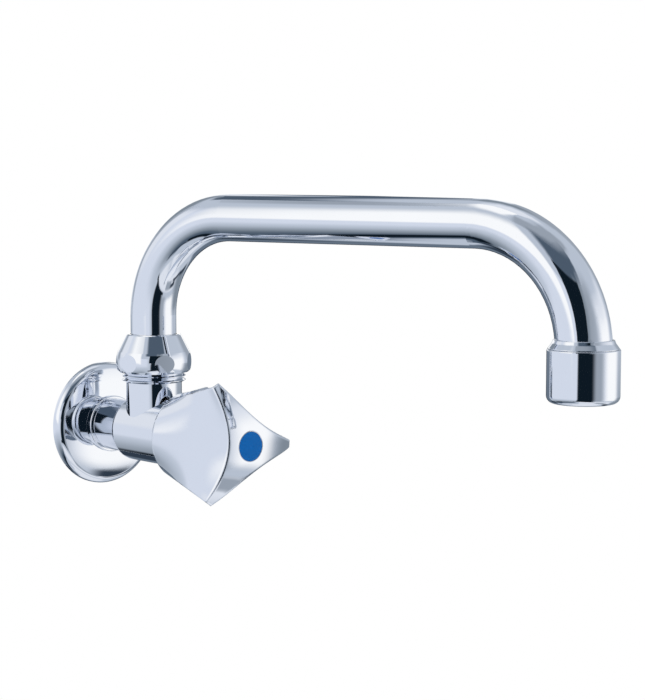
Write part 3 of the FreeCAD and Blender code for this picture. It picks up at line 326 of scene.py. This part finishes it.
def hold_in_metal(thing):
    """Show a studio piece in reflections alone: hidden from camera, diffuse, shadow and
    transmission rays, and linked into the scene.
    """
    for ray in ("visible_camera", "visible_diffuse", "visible_shadow", "visible_transmission"):
        setattr(thing, ray, False)
    bpy.context.scene.collection.objects.link(thing)


def glow_panel(name, colour):
    """A glow that fades out towards the panel's edges."""
    material = bpy.data.materials.new(name)
    material.use_nodes = True
    tree = material.node_tree
    tree.nodes.clear()
    glow = tree.nodes.new("ShaderNodeEmission")
    glow.inputs["Color"].default_value = (*colour, 1)
    clear = tree.nodes.new("ShaderNodeBsdfTransparent")
    share = tree.nodes.new("ShaderNodeAttribute")
    share.attribute_name = "share"
    mix = tree.nodes.new("ShaderNodeMixShader")
    out = tree.nodes.new("ShaderNodeOutputMaterial")
    tree.links.new(share.outputs["Fac"], mix.inputs["Fac"])
    tree.links.new(clear.outputs["BSDF"], mix.inputs[1])
    tree.links.new(glow.outputs["Emission"], mix.inputs[2])
    tree.links.new(mix.outputs["Shader"], out.inputs["Surface"])
    return material


def lamp(name, azimuth, elevation, size, power):
    """A soft square lamp that faces the faucet and doesn't show in its chrome."""
    light = bpy.data.lights.new(name, "AREA")
    light.shape = "SQUARE"
    light.size = size
    light.energy = power
    holder = bpy.data.objects.new(name, light)
    away = toward(azimuth, elevation)
    holder.location = CENTRE + away * LAMP_DISTANCE
    holder.rotation_mode = "QUATERNION"
    holder.rotation_quaternion = away.to_track_quat("Z", "Y")
    holder.visible_glossy = False
    bpy.context.scene.collection.objects.link(holder)


def make_floor():
    """A wide pale floor that keeps the shadow, reads as white and doesn't show in the chrome."""
    shader = Shader("floor_white")
    shader.set(Base_Color=FLOOR_WHITE, Roughness=0.9, Specular_IOR_Level=0.0)
    glow = shader.add("ShaderNodeEmission")
    paths = shader.add("ShaderNodeLightPath")
    seen = shader.math("MAXIMUM", paths.outputs["Is Camera Ray"], paths.outputs["Is Glossy Ray"])
    seen = shader.math("MAXIMUM", seen, paths.outputs["Is Transmission Ray"])
    mix = shader.add("ShaderNodeMixShader")
    away = shader.add("ShaderNodeVectorMath", operation="LENGTH")
    shader.join(shader.place, away.inputs[0])
    far = shader.add("ShaderNodeMapRange", interpolation_type="SMOOTHSTEP")
    far.inputs["From Min"].default_value = SHADOW_TO
    far.inputs["From Max"].default_value = PLAIN_FROM
    far.inputs["To Min"].default_value = SHADOW_GLOW
    shader.join(away.outputs["Value"], far.inputs["Value"])
    shader.join(shader.math("MULTIPLY", seen, far.outputs["Result"]), mix.inputs["Fac"])
    shader.join(shader.surface.outputs["BSDF"], mix.inputs[1])
    shader.join(glow.outputs["Emission"], mix.inputs[2])
    shader.join(mix.outputs["Shader"], shader.tree.nodes["Material Output"].inputs["Surface"])
    mesh = bpy.data.meshes.new("floor")
    signs = ((-1, -1), (1, -1), (1, 1), (-1, 1))
    corners = [(x * FLOOR_REACH, y * FLOOR_REACH, 0) for x, y in signs]
    mesh.from_pydata(corners, [], [(0, 1, 2, 3)])
    mesh.materials.append(shader.material)
    floor = bpy.data.objects.new("floor", mesh)
    floor.location.z = FLOOR_HEIGHT
    floor.visible_glossy = False
    bpy.context.scene.collection.objects.link(floor)


def make_world():
    """Soft white surroundings: plain white where seen or reflected, gentler as a light."""
    world = bpy.data.worlds.new("studio")
    world.use_nodes = True
    bpy.context.scene.world = world
    tree = world.node_tree
    sky = tree.nodes["Background"]
    paths = tree.nodes.new("ShaderNodeLightPath")
    seen = paths.outputs["Is Camera Ray"]
    for ray in ("Is Glossy Ray", "Is Transmission Ray"):
        most = tree.nodes.new("ShaderNodeMath")
        most.operation = "MAXIMUM"
        tree.links.new(seen, most.inputs[0])
        tree.links.new(paths.outputs[ray], most.inputs[1])
        seen = most.outputs["Value"]
    level = tree.nodes.new("ShaderNodeMapRange")
    level.inputs["To Min"].default_value = WORLD_LIGHT
    level.inputs["To Max"].default_value = 1.0
    tree.links.new(seen, level.inputs["Value"])
    sky.inputs["Color"].default_value = (1, 1, 1, 1)
    tree.links.new(level.outputs["Result"], sky.inputs["Strength"])


make_floor()
make_world()
lamp("lamp_key", azimuth=-70, elevation=45, size=0.9, power=14)
lamp("lamp_fill", azimuth=60, elevation=35, size=1.0, power=8)
lamp("lamp_back", azimuth=180, elevation=55, size=0.8, power=6)

# tones of the light tent and its panels, before the chrome's own tint, from dark to light
NAVY = (0.005, 0.011, 0.018)
DARK = (0.034, 0.050, 0.073)
STEEL_BLUE = (0.085, 0.118, 0.160)
SLATE = (0.150, 0.190, 0.240)
ASH = (0.25, 0.29, 0.33)
GREY = (0.37, 0.41, 0.46)
LAVENDER = (0.57, 0.62, 0.69)
MIST = (0.77, 0.81, 0.89)
PALE = (0.86, 0.88, 0.92)
WHITE = (1.14, 1.12, 1.08)

# The panels stand where the photo's chrome reflects light or dark, laid out for this view.
# Each has its corners, its tone, and its fading at the left, right, low and high edges, in degrees;
# each stands a little nearer than the last.
PANELS = {
    "cap_left": (block(-180, -92, 58, 90), WHITE, (0, 14, 10, 0)),
    "cap_right": (block(60, 180, 62, 90), PALE, (20, 0, 10, 0)),
    "cap_front": (block(-92, 60, 52, 84), GREY, (10, 25, 6, 10)),
    "sky_left": (block(-180, -142, 48, 64), GREY, (0, 16, 8, 6)),
    "belt_high": (block(-172, -52, -24, 16), MIST, (12, 14, 16, 0)),
    "belt_left": (((-180, -56), (-62, -50), (-54, -22), (-180, -19)), ASH, (0, 30, 0, 22)),
    "belt_left_low": (((-180, -62), (-70, -58), (-60, -38), (-180, -38)), STEEL_BLUE,
                      (0, 16, 3, 12)),
    "belt_under": (block(-180, -58, -78, -56), LAVENDER, (0, 12, 4, 3)),
    "corner_left": (block(-180, -168, -50, -34), NAVY, (0, 7, 4, 3)),
    "far_left": (block(-180, -158, -4, 42), GREY, (0, 12, 6, 16)),
    "soft_left": (block(-172, -116, -18, 40), MIST, (18, 20, 6, 14)),
    "barrel_light": (block(-174, -140, 3, 38), PALE, (12, 6, 8, 10)),
    "soft_right": (((-138, 4), (-77, -8), (-84, 60), (-142, 58)), WHITE, (26, 5, 6, 26)),
    "over_front": (((-72, 26), (-12, 26), (28, 66), (-76, 66)), STEEL_BLUE, (12, 8, 2, 16)),
    "front_blue": (((-44, -2), (34, -2), (34, 52), (-10, 46)), GREY, (3, 40, 2, 22)),
    "front_edge": (((-44, -2), (-12, -2), (-2, 38), (-30, 38)), ASH, (3, 16, 2, 8)),
    "front_low": (block(-24, 24, -31, -2), GREY, (3, 14, 6, 2)),
    "front_bright": (block(4, 84, -27, 30), PALE, (24, 20, 8, 12)),
    "front_white": (block(16, 76, -29, 19), WHITE, (18, 18, 8, 16)),
    "belt_front": (block(-62, 80, -66, -33), PALE, (10, 20, 16, 3)),
    "right_grey": (block(80, 122, -2, 62), GREY, (18, 3, 3, 12)),
    "right_over": (block(98, 152, 42, 64), ASH, (16, 10, 5, 8)),
    "low_right": (((50, -44), (112, -44), (124, -3), (54, -3)), ASH, (38, 10, 4, 8)),
    "back_low": (block(112, 180, -52, -2), SLATE, (8, 0, 6, 5)),
    "corner_right": (block(150, 180, -47, -29), DARK, (10, 0, 5, 4)),
    "back_spot": (block(124, 152, -26, -1), DARK, (8, 8, 8, 4)),
    "right_strip": (block(120, 136, -3, 44), WHITE, (3, 2, 3, 8)),
    "strip_gap": (block(135, 142, 2, 42), STEEL_BLUE, (1, 1, 6, 6)),
    "strip_thin": (((141, 2), (148, 2), (151, 36), (145, 36)), PALE, (1, 1, 3, 4)),
    "back_dark": (((134, 27), (180, 43), (180, 62), (138, 45)), STEEL_BLUE, (3, 0, 5, 8)),
    "back_grey": (block(149, 180, 12, 40), ASH, (3, 0, 6, 8)),
    "back_light": (block(139, 174, -4, 16), WHITE, (6, 8, 4, 6)),
}
# the same for the pieces that stand close by, nearly all dark, with their distance at the end
NEAR_PANELS = {
    "camera_high": (((-62, -1), (-23, -1), (-13, 32), (-61, 31)), NAVY, (1.5, 2, 0, 1.5), 0.50),
    "camera_low": (((-62, -33), (-17, -33), (-23, 1), (-56, 1)), NAVY, (5, 3, 2, 0), 0.51),
    "camera_soft": (block(-30, -3, -34, 3), NAVY, (6, 14, 2, 6), 0.49),
    "camera_edge": (block(-72, 0, -35, -30), NAVY, (6, 8, 1.5, 1.5), 0.52),
    "front_rim": (((2, -52), (44, -52), (46, -37), (2, -36)), GREY, (4, 4, 3, 4), 0.53),
    "rim_shade": (((32, -48), (78, -50), (78, -35.5), (32, -42)), DARK, (18, 10, 3, 4), 0.30),
    "edge_left": (((-165, -57), (-110, -57), (-112, -44.5), (-165, -47)), NAVY, (6, 4, 3, 3), 0.42),
    "edge_left_rise": (((-114, -58), (-80, -45), (-78, -39), (-114, -50)), DARK,
                       (4, 6, 3, 3), 0.43),
    "edge_far_left": (((-180, -54), (-162, -58), (-162, -48), (-180, -44)), DARK,
                      (0, 4, 3, 4), 0.44),
    "edge_right": (((46, -54), (96, -48), (92, -39), (46, -46)), DARK, (8, 6, 3, 4), 0.45),
    "edge_right_rise": (((88, -50), (120, -34), (116, -24), (86, -40)), DARK, (6, 5, 4, 4), 0.46),
}
panel("tent", block(-180, 180, -90, 90), LAVENDER, (0, 0, 0, 0), TENT_DISTANCE)
panel("under", block(-180, 180, -90, -60), PALE, (0, 0, 0, 4), TENT_DISTANCE - PANEL_GAP)
for place, (name, (corners, colour, soft)) in enumerate(PANELS.items()):
    panel(name, corners, colour, soft, PANEL_DISTANCE - PANEL_GAP * place)
for name, (corners, colour, soft, distance) in NEAR_PANELS.items():
    panel(name, corners, colour, soft, distance)


# ---------------------------------------------------------------- camera

# The camera was fitted to the photo: its focal length in pixels of a picture of this height, its
# direction, and where a point on the neck's axis lies from it, to the right, downward and forward.
IMAGE_HEIGHT = 700
FOCAL_PIXELS = 1925.82
SENSOR = 36.0
PITCH = math.radians(5.59)
YAW = math.radians(42.54)
FITTED_POINT = Vector((0, -36.0 * MM, 10.4576 * MM))
POINT_RIGHT, POINT_DOWN, POINT_AHEAD = -70.413 * MM, 23.280 * MM, 805.580 * MM

level = Vector((math.sin(YAW), math.cos(YAW), 0))
forward = level * math.cos(PITCH) - Vector((0, 0, math.sin(PITCH)))
right = Vector((math.cos(YAW), -math.sin(YAW), 0))
upward = right.cross(forward)
eye = FITTED_POINT - POINT_RIGHT * right + POINT_DOWN * upward - POINT_AHEAD * forward
turned = Matrix((right, upward, -forward)).transposed().to_4x4()
lens = bpy.data.cameras.new("camera")
lens.sensor_width = SENSOR
lens.lens = FOCAL_PIXELS * SENSOR / IMAGE_HEIGHT
lens.clip_start, lens.clip_end = 0.01, 100
camera = bpy.data.objects.new("camera", lens)
camera.matrix_world = Matrix.Translation(eye) @ turned
bpy.context.scene.collection.objects.link(camera)
bpy.context.scene.camera = camera
bpy.context.scene.view_settings.view_transform = "Standard"
